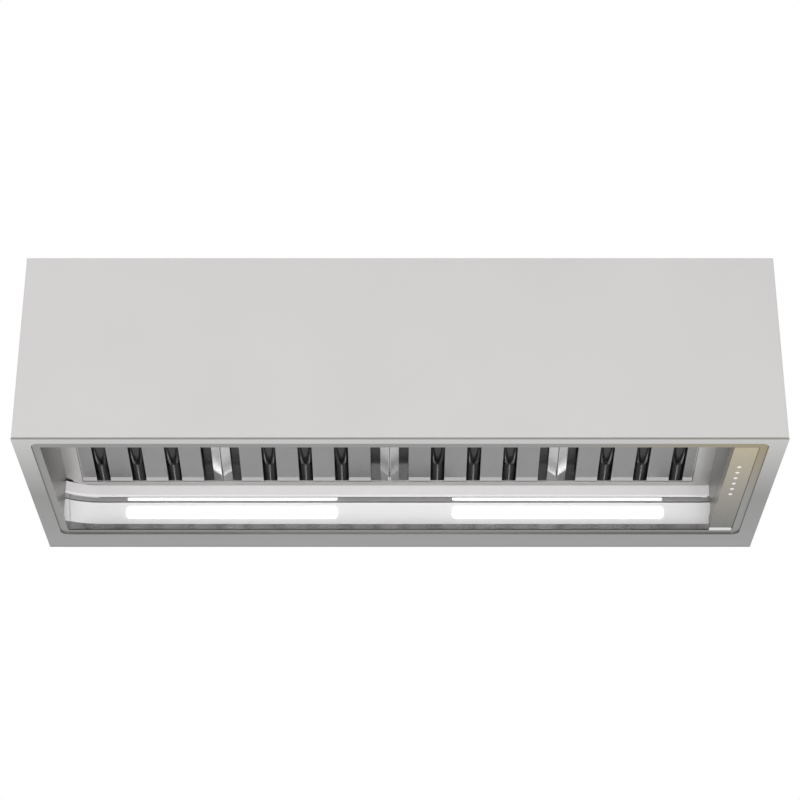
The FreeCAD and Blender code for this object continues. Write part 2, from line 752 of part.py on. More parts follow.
def light_bar():
    piece = Piece("light_bar_strip")
    profile = [
        (BAR_TOP_Y, BAR_TOP_Z), (BAR_BEND_Y, "bar_bend_height"), (SHELF_Y, SHELF_Z),
        (SHELF_Y, f"{SHELF_Z} + light_sheet"),
        (f"{BAR_BEND_Y} + light_sheet", "bar_bend_height + light_sheet"),
        (f"{BAR_TOP_Y} + light_sheet", BAR_TOP_Z),
    ]
    swept_strip(piece, profile)
    bend = value("bar_bend_height")

    def on_bend(edge):
        return all(abs(height - bend) < 0.01 for height in (edge.BoundBox.ZMin, edge.BoundBox.ZMax))

    piece.fillet("bar_bend_radius", on_bend)
    room = box("light_bar_room", (f"-{INNER_X}", INNER_X), (FRONT, REAR), ("0", "hood_height"))
    keep("light_bar", boolean("Common", "light_bar", piece.body, room))


def panel_strip():
    piece = Piece("panel_strip")
    profile = [
        (PANEL_TOP_Y, PANEL_TOP_Z), (PANEL_LOW_Y, "panel_bend_height"), (PANEL_LOW_Y, FLANGE_TOP),
        (f"{PANEL_LOW_Y} + light_sheet", FLANGE_TOP),
        (f"{PANEL_LOW_Y} + light_sheet", "panel_bend_height + light_sheet/4"),
        (f"{PANEL_TOP_Y} + light_sheet", PANEL_TOP_Z),
    ]
    return swept_strip(piece, profile).body


def lens_middle(side):
    return f"({side}*lens_middle - lens_shift)"


def on_panel(piece):
    """Lays a piece on the light panel, with Y running down its slope and Z into the hood."""
    slope = f"-atan(({PANEL_TOP_Z} - panel_bend_height)/({PANEL_LOW_Y} - {PANEL_TOP_Y}))"
    spot = FreeCAD.Vector(0, value(PANEL_TOP_Y), value(PANEL_TOP_Z))
    angle = sheet.evalExpression(slope)
    turn = FreeCAD.Rotation(FreeCAD.Vector(1, 0, 0), float(getattr(angle, "Value", angle)))
    piece.body.Placement = FreeCAD.Placement(spot, turn)
    return piece


def lens_outline(side, grow):
    middle = lens_middle(side)
    return rounded(f"{middle} - lens_length/2 - {grow}", f"{middle} + lens_length/2 + {grow}",
                   f"lens_place - {grow}", f"lens_place + lens_width + {grow}", f"(lens_corner + {grow})")


def light_panel():
    strip = panel_strip()
    middle = box("panel_middle", (f"-{PANEL_SEAM_X}", PANEL_SEAM_X), (FRONT, REAR), ("0", "hood_height"))
    plain = boolean("Common", "light_panel_plain", strip, middle)
    windows = Piece("panel_windows", many=True)
    windows.pad("XY", "-lens_depth", "lens_depth",
                lens_outline(-1, "lens_gap"), lens_outline(1, "lens_gap"))
    on_panel(windows)
    keep("light_panel", boolean("Cut", "light_panel", plain, windows.body))
    outer = f"({INNER_X} - frame_sheet - seam_gap)"
    for name, ends in (("left", (f"-{outer}", f"-{PANEL_SEAM_X} - seam_gap")),
                       ("right", (f"{PANEL_SEAM_X} + seam_gap", outer))):
        room = box(f"panel_end_room_{name}", ends, (FRONT, REAR), ("0", "hood_height"))
        keep(f"panel_end_{name}", boolean("Common", f"panel_end_{name}", strip, room))


def light_lens(name, side):
    """A frosted lens with walls that hold its board."""
    piece = Piece(f"light_lens_{name}")
    piece.pad("XY", "-lens_proud", "lens_depth", lens_outline(side, "0"))
    piece.pocket("XY", "lens_wall", "lens_depth", lens_outline(side, "(-lens_wall)"))
    on_panel(piece).done()


def light_board(name, side):
    """A circuit board with a row of diodes that face the lens."""
    piece = Piece(f"light_board_{name}")
    middle = lens_middle(side)
    count = int(value("(lens_length - 4*lens_wall)/diode_pitch"))
    half = "(lens_length/2 - lens_wall - lens_corner)"
    piece.pad("XY", "lens_depth - board_sheet", "lens_depth",
              rectangle(f"{middle} - {half}", f"{middle} + {half}",
                        "lens_place + lens_wall + lens_gap",
                        "lens_place + lens_width - lens_wall - lens_gap"))
    centre = "(lens_place + lens_width/2)"
    first = f"({middle} - ({count} - 1)/2*diode_pitch)"
    diode = piece.pad("XY", "lens_depth - board_sheet - diode_height", "lens_depth - board_sheet",
                      rectangle(f"{first} - diode_side/2", f"{first} + diode_side/2",
                                f"{centre} - diode_side/2", f"{centre} + diode_side/2"))
    piece.row([diode], "X", "diode_pitch", count)
    on_panel(piece).done()


def light_driver():
    """A sealed driver with screw ears, on the rear rail of the frame."""
    piece = Piece("light_driver")
    rear = f"({PANEL_FACE} - frame_sheet)"
    front = f"({rear} - driver_depth)"
    piece.pad("XY", "frame_sheet", "frame_sheet + driver_height",
              rounded("-driver_length/2", "driver_length/2", front, rear, "fold_radius"))
    piece.pad("XY", "frame_sheet", "2*frame_sheet",
              rectangle("-driver_length/2 - driver_ear", "driver_length/2 + driver_ear",
                        f"{front} + driver_depth/4", f"{rear} - driver_depth/4"))
    piece.done()


# Control strip

BUTTON_X = f"({STRIP_LEFT} + strip_width - button_side)"
BUTTON_CAP = "(step_rise + strip_sheet)"
GUIDE_BASE = f"({BUTTON_CAP} + guide_rise)"
GUIDE_TOP = f"({GUIDE_BASE} + guide_sheet)"
BOARD_BASE = f"({GUIDE_TOP} + button_travel + 2*hinge_gap + switch_height)"


def button_y(number):
    return f"({OPEN_FRONT} + button_first + {number}*button_pitch)"


def button_holes(radius):
    return [(BUTTON_X, button_y(number), radius) for number in range(BUTTON_COUNT)]


def control_strip():
    """A channel beside the filters, with a lip at its rear end and tabs that lie on the frame."""
    piece = Piece("control_strip")
    front = f"({OPEN_FRONT} + hinge_gap)"
    rear = f"({OPEN_REAR} - strip_end)"
    piece.pad("YZ", STRIP_LEFT, STRIP_RIGHT, [
        (front, "step_rise"), (f"{rear} - strip_bevel", "step_rise"), (rear, "step_rise - strip_drop"),
        (rear, "step_rise - strip_drop + strip_sheet"), (f"{rear} - strip_bevel", BUTTON_CAP),
        (front, BUTTON_CAP),
    ])
    walls = [(STRIP_LEFT, f"{STRIP_LEFT} + strip_sheet"), (f"{STRIP_RIGHT} - strip_sheet", STRIP_RIGHT)]
    for left, right in walls:
        piece.pad("YZ", left, right,
                  rectangle(front, f"{rear} - strip_bevel", "step_rise", "step_rise + strip_wall"))
    piece.pad("XY", FLANGE_TOP, f"{FLANGE_TOP} + strip_sheet",
              rectangle(f"{STRIP_RIGHT} - strip_sheet", f"{STRIP_RIGHT} + tab_width",
                        front, f"{rear} - strip_bevel"))
    piece.pad("XY", "step_rise", f"{FLANGE_TOP} + strip_sheet",
              rectangle(STRIP_LEFT, STRIP_RIGHT, front, f"{front} + strip_sheet"))
    piece.pad("XY", FLANGE_TOP, f"{FLANGE_TOP} + strip_sheet",
              rectangle(STRIP_LEFT, STRIP_RIGHT, f"{front} - tab_width", f"{front} + strip_sheet"))
    piece.pocket("XY", "step_rise", BUTTON_CAP, circles=button_holes("button_radius + button_fit"))
    piece.done()


def guide_ends():
    return f"({button_y(0)} - guide_end)", f"({button_y(BUTTON_COUNT - 1)} + guide_end)"


def button_guide():
    """A block on feet that guides the button stems, with posts that carry the board."""
    piece = Piece("button_guide")
    front, rear = guide_ends()
    left = f"({BUTTON_X} - guide_width/2)"
    right = f"({BUTTON_X} + guide_width/2)"
    piece.pad("XY", GUIDE_BASE, GUIDE_TOP, rectangle(left, right, front, rear),
              circles=button_holes("stem_radius + button_fit"))
    for low, high in ((front, f"{front} + post_side"), (f"{rear} - post_side", rear)):
        piece.pad("XY", BUTTON_CAP, GUIDE_BASE, rectangle(left, right, low, high))
        piece.pad("XY", GUIDE_TOP, BOARD_BASE, rectangle(left, f"{left} + post_side", low, high),
                  rectangle(f"{right} - post_side", right, low, high))
    piece.done()


def control_board():
    """The board, its six switches and its plug socket."""
    piece = Piece("control_board")
    front, rear = guide_ends()
    top = f"({BOARD_BASE} + board_sheet)"
    piece.pad("XY", BOARD_BASE, top,
              rectangle(f"{BUTTON_X} - guide_width/2", f"{BUTTON_X} + guide_width/2",
                        front, f"{rear} + 2*guide_end"))
    switches = []
    for number in range(BUTTON_COUNT):
        y = button_y(number)
        switches.append(rectangle(f"{BUTTON_X} - switch_side/2", f"{BUTTON_X} + switch_side/2",
                                  f"{y} - switch_side/2", f"{y} + switch_side/2"))
    piece.pad("XY", f"{BOARD_BASE} - switch_height", BOARD_BASE, *switches)
    piece.pad("XY", top, f"{top} + switch_side",
              rectangle(f"{BUTTON_X} - switch_side", f"{BUTTON_X} + switch_side",
                        f"{rear} + guide_end/2", f"{rear} + 3*guide_end/2"))
    piece.done()


def control_button(number):
    """A turned button with a collar above the strip and a stem in the guide."""
    piece = Piece(f"control_button_{number + 1}")
    face = "step_rise - button_proud"
    collar = f"({BUTTON_CAP} + hinge_gap)"
    neck = f"({collar} + button_travel)"
    tip = f"({GUIDE_TOP} + hinge_gap)"
    piece.revolve("XZ", "0", [
        ("0", face), ("button_radius - button_fit", face), ("button_radius", f"{face} + button_fit"),
        ("button_radius", collar), ("button_collar", collar), ("button_collar", neck),
        ("stem_radius", neck), ("stem_radius", tip), ("0", tip),
    ], [("0", "0"), ("0", "1")])
    piece.place(BUTTON_X, button_y(number), "0").done()


# Blower, wheel and motor


def volute(grow, top=INNER_TOP):
    """The scroll as seen along X: quarter arcs that widen, a straight rear wall and a flared front lip."""
    first = "(wheel_radius + wheel_gap)"
    second = f"({first} + volute_step)"
    third = f"({second} + volute_step)"
    y, z = "blower_y", "blower_z"
    rear = f"{y} + volute_step + {third} + {grow}"
    lip = f"{y} - {COLLAR_INNER} - {grow}"
    tongue = f"({TONGUE_STEPS}*{grow})"
    start = f"({first} + {grow})"
    return [
        (f"{y} - {tongue}", f"{z} + sqrt({start}*{start} - {tongue}*{tongue})", start),
        (f"{y} - {first} - {grow}", f"{z}", f"{second} + {grow}"),
        (f"{y} + volute_step", f"{z} - {second} - {grow}", f"{third} + {grow}"),
        (rear, f"{z} + volute_step"), (rear, top), (lip, top), (lip, f"{INNER_TOP} - volute_step"),
    ]


def blower_scroll():
    piece = Piece("blower_scroll")
    piece.pad("YZ", "-blower_half", "blower_half", volute("blower_sheet"))
    piece.pocket("YZ", "-blower_half", "blower_half", volute("0", f"{INNER_TOP} + volute_step"))
    piece.done()


def blower_side(name, start, end):
    """A side plate of the blower with its round inlet."""
    piece = Piece(f"blower_side_{name}")
    piece.pad("YZ", start, end, volute("blower_sheet"),
              circles=[("blower_y", "blower_z", "inlet_radius")])
    piece.done()


def impeller_wheel():
    """Forward-curved blades between two rings, with a plate and a hub, drawn about the wheel's own axis."""
    piece = Piece("impeller_wheel", many=True)
    inner = "(wheel_radius - blade_chord)"
    piece.pad("YZ", "-hub_length/2", "hub_length/2",
              circles=[("0", "0", "hub_radius"), ("0", "0", "shaft_radius")])
    piece.pad("YZ", "-blade_sheet", "blade_sheet",
              circles=[("0", "0", "wheel_radius - blade_sheet"), ("0", "0", "shaft_radius")])
    for start, end in (("-wheel_length/2", "ring_width - wheel_length/2"),
                       ("wheel_length/2 - ring_width", "wheel_length/2")):
        piece.pad("YZ", start, end,
                  circles=[("0", "0", "wheel_radius"), ("0", "0", "wheel_radius - 2*blade_sheet")])
    blade = piece.pad("YZ", "-wheel_length/2", "wheel_length/2", [
        (inner, "-blade_sheet/2", "blade_radius"), ("wheel_radius - blade_sheet", "-blade_sheet/2"),
        ("wheel_radius - blade_sheet", "blade_sheet/2", "-blade_radius"), (inner, "blade_sheet/2"),
    ])
    piece.ring([blade], "X", int(value("blade_count")))
    piece.place("0", "blower_y", "blower_z").done()


MOTOR_RIGHT = "(-blower_half - blower_sheet - motor_place)"
MOTOR_LEFT = f"({MOTOR_RIGHT} - motor_length)"


def motor_shaft():
    piece = Piece("motor_shaft")
    piece.pad("YZ", f"{MOTOR_LEFT} + motor_length/2", "hub_length/2 + shaft_radius",
              circles=[("0", "0", "shaft_radius")])
    piece.place("0", "blower_y", "blower_z").done()


def motor_housing():
    """A turned motor shell with bevelled ends and a bore for its shaft."""
    piece = Piece("motor_housing")
    bore = "(shaft_radius + shaft_fit)"
    step = "motor_radius/8"
    piece.revolve("XY", "0", [
        (MOTOR_LEFT, "0"), (MOTOR_LEFT, f"motor_radius - {step}"), (f"{MOTOR_LEFT} + {step}", "motor_radius"),
        (f"{MOTOR_RIGHT} - {step}", "motor_radius"), (MOTOR_RIGHT, f"motor_radius - {step}"),
        (MOTOR_RIGHT, bore),
        (f"{MOTOR_LEFT} + motor_length/2", bore), (f"{MOTOR_LEFT} + motor_length/2", "0"),
    ], [("0", "0"), ("1", "0")])
    piece.place("0", "blower_y", "blower_z").done()


def motor_bracket():
    """A plate on the motor's face, with three arms that bend out to the side of the blower."""
    piece = Piece("motor_bracket")
    plate = f"{MOTOR_RIGHT} + bracket_sheet"
    side = "-blower_half - blower_sheet"
    piece.pad("YZ", MOTOR_RIGHT, plate,
              circles=[("0", "0", "motor_radius"), ("0", "0", "shaft_radius + hub_radius")])
    reach = "(inlet_radius + bracket_arm)"
    across = ("-bracket_arm/2", "bracket_arm/2")
    arm = piece.pad("YZ", MOTOR_RIGHT, plate, rectangle(*across, "motor_radius - bracket_arm", reach))
    leg = piece.pad("YZ", MOTOR_RIGHT, side, rectangle(*across, f"{reach} - bracket_sheet", reach))
    piece.ring([arm, leg], "X", 3)
    piece.place("0", "blower_y", "blower_z").done()


# Duct collar and damper

PIVOT_Z = "(hood_height + damper_height)"


def duct_collar():
    """A round spigot with a flange on the casing and a stop ring under the flaps."""
    piece = Piece("duct_collar")
    stop = "(hood_height + stop_height)"
    piece.revolve("XZ", "0", [
        (COLLAR_INNER, "hood_height"), ("collar_radius + collar_flange", "hood_height"),
        ("collar_radius + collar_flange", "hood_height + collar_wall"),
        ("collar_radius", "hood_height + collar_wall"),
        ("collar_radius", "hood_height + collar_height"), (COLLAR_INNER, "hood_height + collar_height"),
        (COLLAR_INNER, f"{stop} + collar_wall"), (f"{COLLAR_INNER} - stop_width", f"{stop} + collar_wall"),
        (f"{COLLAR_INNER} - stop_width", stop), (COLLAR_INNER, stop),
    ], [("0", "0"), ("0", "1")])
    piece.pocket("YZ", "-collar_radius", "collar_radius",
                 circles=[("0", PIVOT_Z, "damper_pin_radius + shaft_fit")])
    piece.pocket("XY", "hood_height", "hood_height + collar_wall",
                 circles=[(x, y, "screw_shank") for x, y in collar_screw_places()])
    piece.place("0", "blower_y", "0").done()


def collar_screw_places():
    reach = "(collar_radius + collar_flange/2)*cos(45)"
    return [(f"{side}*{reach}", f"{end}*{reach}") for side in (-1, 1) for end in (-1, 1)]


def collar_screws():
    piece = Piece("collar_screws", many=True)
    flange = "(hood_height + collar_wall)"
    places = collar_screw_places()
    piece.pad("XY", flange, f"{flange} + screw_rise", circles=[(x, y, "screw_head") for x, y in places])
    piece.pad("XY", "hood_height", flange, circles=[(x, y, "screw_shank - pin_fit") for x, y in places])
    piece.place("0", "blower_y", "0").done()


def damper_pin():
    piece = Piece("damper_pin")
    piece.pad("YZ", f"-{COLLAR_INNER} - collar_wall/2", f"{COLLAR_INNER} + collar_wall/2",
              circles=[("blower_y", PIVOT_Z, "damper_pin_radius")])
    piece.done()


def damper_flap(name, side, starts):
    """A half disc that hangs on the pin by two knuckles."""
    piece = Piece(f"damper_flap_{name}", many=True)
    low = f"({PIVOT_Z} - flap_drop)"
    radius = f"({COLLAR_INNER} - flap_gap)"
    seam_place = f"{side}*flap_seam"
    reach = f"sqrt({radius}*{radius} - flap_seam*flap_seam)"
    half = [(f"-{side}*{reach}", seam_place), (f"{side}*{reach}", seam_place, radius),
            ("0", f"{side}*{radius}", radius)]
    piece.pad("XY", low, f"{low} + flap_sheet", half)
    bore = ("0", PIVOT_Z, "damper_pin_radius + pin_fit")
    for start in starts:
        end = f"({start})*knuckle_length + knuckle_length - hinge_gap"
        begin = f"({start})*knuckle_length + hinge_gap"
        piece.pad("YZ", begin, end, circles=[("0", PIVOT_Z, "knuckle_radius")])
        ends = ("knuckle_radius/2", "2*flap_seam") if side > 0 else ("-2*flap_seam", "-knuckle_radius/2")
        piece.pad("YZ", begin, end, rectangle(*ends, low, f"{low} + flap_sheet"))
        piece.pocket("YZ", begin, end, circles=[bore])
    piece.place("0", "blower_y", "0").done()


# Electrical pieces


def terminal_box():
    """A box under the top of the casing, with its lid below."""
    piece = Piece("terminal_box")
    left, right = "terminal_x - terminal_length/2", "terminal_x + terminal_length/2"
    front, rear = "terminal_y - terminal_depth/2", "terminal_y + terminal_depth/2"
    base = f"({INNER_TOP} - terminal_height)"
    piece.pad("XY", base, INNER_TOP, rounded(left, right, front, rear, "fold_radius"))
    piece.pocket("XY", f"{base} + fold_radius", INNER_TOP,
                 rectangle(f"{left} + fold_radius", f"{right} - fold_radius",
                           f"{front} + fold_radius", f"{rear} - fold_radius"))
    piece.done()


def cable_gland():
    """A gland through the top of the casing, where the mains cable enters the terminal box."""
    piece = Piece("cable_gland")
    top = "(hood_height + gland_height)"
    base = f"({INNER_TOP} - 2*casing_wall)"
    shoulder = "(hood_height + gland_height/3)"
    piece.revolve("XZ", "0", [
        ("gland_bore", base), ("gland_radius - 2*casing_wall", base),
        ("gland_radius - 2*casing_wall", "hood_height"), ("gland_radius + casing_wall", "hood_height"),
        ("gland_radius + casing_wall", shoulder), ("gland_radius", shoulder),
        ("gland_radius - casing_wall", f"{top} - casing_wall"), ("gland_radius - 3*casing_wall", top),
        ("gland_bore", top),
    ], [("0", "0"), ("0", "1")])
    piece.place("terminal_x", "terminal_y", "0").done()


def capacitor():
    """The motor's run capacitor, on a foot against the rear panel."""
    piece = Piece("capacitor")
    middle = f"({PANEL_FACE} - capacitor_radius - fold_radius)"
    start, end = "-capacitor_x - capacitor_length/2", "capacitor_length/2 - capacitor_x"
    piece.pad("YZ", start, end, circles=[(middle, "capacitor_z", "capacitor_radius")])
    piece.pad("XZ", middle, PANEL_FACE,
              rectangle(f"{start} + fold_radius", f"{end} - fold_radius",
                        "capacitor_z - capacitor_radius/2", "capacitor_z + capacitor_radius/2"))
    piece.done()


def motor_lead():
    """The lead from the terminal box over the blower to the motor."""
    radius = value("lead_radius")
    z = value("blower_z")
    rear = value(f"{PANEL_FACE} - 2*lead_radius - capacitor_radius")
    left = value(f"{MOTOR_LEFT} - 2*lead_bend")
    box_rear = value("terminal_y + terminal_depth/2")
    x = value("terminal_x")
    height = value(f"{INNER_TOP} - terminal_height/2")
    points = [(x, box_rear, height), (x, rear, height), (left, rear, height), (left, value("blower_y"), z),
              (value(MOTOR_LEFT), value("blower_y"), z)]
    tube("motor_lead", points, radius, min(value("lead_bend"), rear - box_rear - radius))


def light_lead(name, side):
    """The lead from an end of the driver to the back of a light board."""
    bend = value("lead_bend")
    z = value("frame_sheet + driver_height/2")
    y = value(f"{PANEL_FACE} - frame_sheet - driver_depth/2")
    half = side * value("driver_length/2")
    end = value(lens_middle(side)) - side * value("lens_length/4")
    slope = math.atan2(value(f"{PANEL_TOP_Z} - panel_bend_height"), value(f"{PANEL_LOW_Y} - {PANEL_TOP_Y}"))
    down = value("lens_place + lens_width/2")
    back = value("lens_depth")
    seat_y = value(PANEL_TOP_Y) + down * math.cos(slope) + back * math.sin(slope)
    seat_z = value(PANEL_TOP_Z) - down * math.sin(slope) + back * math.cos(slope)
    out_y = seat_y + bend * math.sin(slope)
    out_z = seat_z + bend * math.cos(slope)
    points = [(half, y, z), (half + side * bend, y, z), (end, out_y, out_z), (end, seat_y, seat_z)]
    tube(f"light_lead_{name}", points, value("lead_radius/2"), bend / 2)


outer_casing()
rear_panel()
underside_frame()
panel_screws()
filter_deck()
side_liner("left", f"-{OPEN_X} - deck_sheet", f"-{OPEN_X}", FLANGE_TOP)
side_liner("right", STRIP_LEFT, f"{STRIP_LEFT} + deck_sheet", "step_rise + strip_wall + hinge_gap")
for bay in range(FILTER_COUNT):
    filter_frame(bay)
    front_baffles(bay)
    rear_baffles(bay)
    filter_handle(bay)
light_bar()
light_panel()
for lens_name, lens_side in (("left", -1), ("right", 1)):
    light_lens(lens_name, lens_side)
    light_board(lens_name, lens_side)
    light_lead(lens_name, lens_side)
light_driver()
control_strip()
button_guide()
control_board()
for key in range(BUTTON_COUNT):
    control_button(key)
blower_scroll()
blower_side("left", "-blower_half - blower_sheet", "-blower_half")
blower_side("right", "blower_half", "blower_half + blower_sheet")
impeller_wheel()
motor_shaft()
motor_housing()
motor_bracket()
duct_collar()
collar_screws()
damper_pin()
damper_flap("front", -1, (-3, 1))
damper_flap("rear", 1, (-2, 2))
terminal_box()
cable_gland()
capacitor()
motor_lead()
doc.recompute()

failed = [thing.Label for thing in doc.Objects if {"Invalid", "Error"} & set(thing.State)]
if failed:
    raise RuntimeError(f"These did not recompute: {failed}")
for label, thing in sub_parts.items():
    if thing.Shape.isNull() or not thing.Shape.isValid() or not thing.Shape.Solids:
        raise RuntimeError(f"{label} is not a valid solid")

os.makedirs("parts", exist_ok=True)
for label, thing in sub_parts.items():
    thing.Shape.exportStep(os.path.join("parts", f"{label}.step"))
    bounds = thing.Shape.BoundBox
    print(f"{label}: {len(thing.Shape.Solids)} solid(s), {thing.Shape.Volume / 1000:.2f} cm3, "
          f"X {bounds.XMin:.1f} to {bounds.XMax:.1f}, Y {bounds.YMin:.1f} to {bounds.YMax:.1f}, "
          f"Z {bounds.ZMin:.1f} to {bounds.ZMax:.1f}")
print(len(sub_parts), "sub-parts")
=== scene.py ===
import json
import math

import bpy
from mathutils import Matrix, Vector


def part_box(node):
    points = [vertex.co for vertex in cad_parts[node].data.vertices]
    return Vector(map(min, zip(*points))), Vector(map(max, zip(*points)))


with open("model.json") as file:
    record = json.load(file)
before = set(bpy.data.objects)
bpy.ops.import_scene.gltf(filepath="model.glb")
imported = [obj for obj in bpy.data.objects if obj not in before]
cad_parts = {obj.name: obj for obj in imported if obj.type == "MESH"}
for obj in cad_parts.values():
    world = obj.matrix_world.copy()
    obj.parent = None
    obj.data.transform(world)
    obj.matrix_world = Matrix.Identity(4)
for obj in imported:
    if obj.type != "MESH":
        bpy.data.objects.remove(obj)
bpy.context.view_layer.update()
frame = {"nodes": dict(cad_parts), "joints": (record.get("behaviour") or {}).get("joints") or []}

# Undermount range hood. Metres, in the frame of the CAD model: -Y is the front and Z is up.

# Materials

WHOLE_RANGE = (0.0, 1.0)
MIDDLE_RANGE = (0.3, 0.7)
CLOUD_RANGE = (0.25, 0.75)


class Finish:
    """A material with one Principled shader, whose detail follows the object's own coordinates."""

    def __init__(self, name, **sockets):
        self.material = bpy.data.materials.new(name)
        self.material.use_nodes = True
        self.tree = self.material.node_tree
        self.shader = self.tree.nodes["Principled BSDF"]
        for socket, setting in sockets.items():
            title = socket.replace("_", " ").title()
            self.shader.inputs[title].default_value = setting
        coordinates = self.add("ShaderNodeTexCoord").outputs
        self.place = coordinates["Object"]
        self.normal = coordinates["Normal"]

    def feed(self, socket, given):
        """Links an input to another node's socket, or sets it. A plain colour is opaque."""
        if isinstance(given, bpy.types.NodeSocket):
            self.tree.links.new(given, socket)
        elif socket.type == "RGBA":
            socket.default_value = (*given, 1.0)
        else:
            socket.default_value = given

    def add(self, kind, **inputs):
        """Adds a node with its inputs linked or set."""
        made = self.tree.nodes.new(kind)
        for name, given in inputs.items():
            self.feed(made.inputs[name], given)
        return made

    def link(self, source, socket):
        """Links a value or colour to the shader."""
        self.tree.links.new(source, self.shader.inputs[socket])

    def noise(self, scale, detail=3.0, roughness=0.55):
        """Noise over the object. The scale is one number, or one for each axis, in cycles a metre."""
        scales = scale if isinstance(scale, tuple) else (scale, scale, scale)
        stretched = self.add("ShaderNodeMapping", Vector=self.place, Scale=scales)
        made = self.add("ShaderNodeTexNoise", Vector=stretched.outputs["Vector"], Scale=1.0, Detail=detail,
                        Roughness=roughness)
        return made.outputs["Fac"]

    def grain(self, across):
        """The fine lines of brushed metal."""
        return self.noise(across, detail=4.0, roughness=0.7)

    def spread(self, source, low, high, source_range=MIDDLE_RANGE):
        """Maps a range of a texture to two limits."""
        made = self.add("ShaderNodeMapRange", Value=source)
        start, end = source_range
        limits = {"From Min": start, "From Max": end, "To Min": low, "To Max": high}
        for name, limit in limits.items():
            made.inputs[name].default_value = limit
        return made.outputs["Result"]

    def tint(self, source, *stops):
        """A colour that follows a texture through stops of position and colour."""
        made = self.add("ShaderNodeValToRGB", Fac=source)
        elements = made.color_ramp.elements
        while len(elements) < len(stops):
            elements.new(1.0)
        for element, (position, colour) in zip(elements, stops):
            element.position = position
            element.color = (*colour, 1.0)
        return made.outputs["Color"]

    def clouds(self, colour, scale, change):
        """Sets a base colour that turns darker and lighter by a small share, in soft clouds."""
        tones = (shade(colour, 1 - change), shade(colour, 1 + change))
        cloud = self.noise(scale, detail=2.0)
        self.link(self.tint(cloud, *zip(CLOUD_RANGE, tones)), "Base Color")

    def bump(self, source, strength, depth):
        """Gives the surface a relief from a texture."""
        made = self.add("ShaderNodeBump", Height=source, Strength=strength, Distance=depth)
        self.link(made.outputs["Normal"], "Normal")

    def texture(self, source, smooth, rough, strength, depth):
        """Sets a roughness between two limits and a relief, both from one texture."""
        self.link(self.spread(source, smooth, rough), "Roughness")
        self.bump(source, strength, depth)

    def share_of(self, vector, axis, limits):
        """One axis of a vector, as a value that goes from 0 to 1 between two limits."""
        split = self.add("ShaderNodeSeparateXYZ", Vector=vector)
        return self.spread(split.outputs[axis], *WHOLE_RANGE, limits)

    def along(self, axis, reach, tilt=0.0):
        """A value that goes from 0 to 1 between two places on an axis, turned about X by a tilt."""
        turned = self.add("ShaderNodeMapping", Vector=self.place, Rotation=(tilt, 0.0, 0.0))
        return self.share_of(turned.outputs["Vector"], axis, reach)

    def facing(self, axis, turn):
        """A value that goes from 0 to 1 between two limits of the surface's normal on an axis."""
        return self.share_of(self.normal, axis, turn)

    def both(self, first, second):
        """The product of two shares, each a socket or a plain number."""
        made = self.add("ShaderNodeMath")
        made.operation = "MULTIPLY"
        for socket, given in zip(made.inputs, (first, second)):
            self.feed(socket, given)
        return made.outputs["Value"]

    def mix(self, share, first, second):
        """A colour between two others, each a socket or a plain colour."""
        return self.add("ShaderNodeMixRGB", Fac=share, Color1=first, Color2=second).outputs["Color"]


def shade(colour, amount):
    """A colour made darker or lighter."""
    return tuple(min(1.0, part * amount) for part in colour)


def brushed(name, colour, across, rough, change=0.06, depth=0.00004):
    """Sheet metal with a grain. The tuple across gives cycles a metre on each axis."""
    made = Finish(name, metallic=1.0)
    made.clouds(colour, scale=9.0, change=change)
    made.texture(made.grain(across), smooth=0.8 * rough, rough=1.25 * rough, strength=0.35, depth=depth)
    return made


def coated(name, colour, rough, scale, depth, change=0.02):
    """Paint or moulded plastic with a fine texture and a faint change of tone."""
    made = Finish(name)
    made.clouds(colour, scale=6.0, change=change)
    grains = made.noise(scale, detail=2.0)
    made.texture(grains, smooth=0.9 * rough, rough=1.15 * rough, strength=0.3, depth=depth)
    return made


def galvanised(name, colour, rough):
    """Zinc-coated sheet with its crystal spangle."""
    made = Finish(name, metallic=0.9)
    cells = made.add("ShaderNodeTexVoronoi", Vector=made.place, Scale=110.0)
    crystal = made.add("ShaderNodeSeparateColor", Color=cells.outputs["Color"]).outputs["Red"]
    tones = (shade(colour, 0.93), shade(colour, 1.05))
    made.link(made.tint(crystal, *zip(WHOLE_RANGE, tones)), "Base Color")
    made.link(made.spread(crystal, 0.92 * rough, 1.08 * rough, WHOLE_RANGE), "Roughness")
    made.bump(made.noise(scale=500.0), strength=0.15, depth=0.00005)
    return made


def bent(name, bend, colours, metallic, roughness):
    """A sheet with one finish below its bend and another above it. Each pair gives below, then above."""
    made = Finish(name)
    above = made.along("Z", bend)
    made.link(made.tint(above, *zip(WHOLE_RANGE, colours)), "Base Color")
    made.link(made.spread(above, *metallic, WHOLE_RANGE), "Metallic")
    made.link(made.spread(above, *roughness, WHOLE_RANGE), "Roughness")
    return made


LONG_GRAIN = (5.0, 900.0, 900.0)
CROSS_GRAIN = (900.0, 5.0, 900.0)
EVEN_GRAIN = (400.0, 400.0, 400.0)
WIRE_GRAIN = (60.0, 600.0, 600.0)

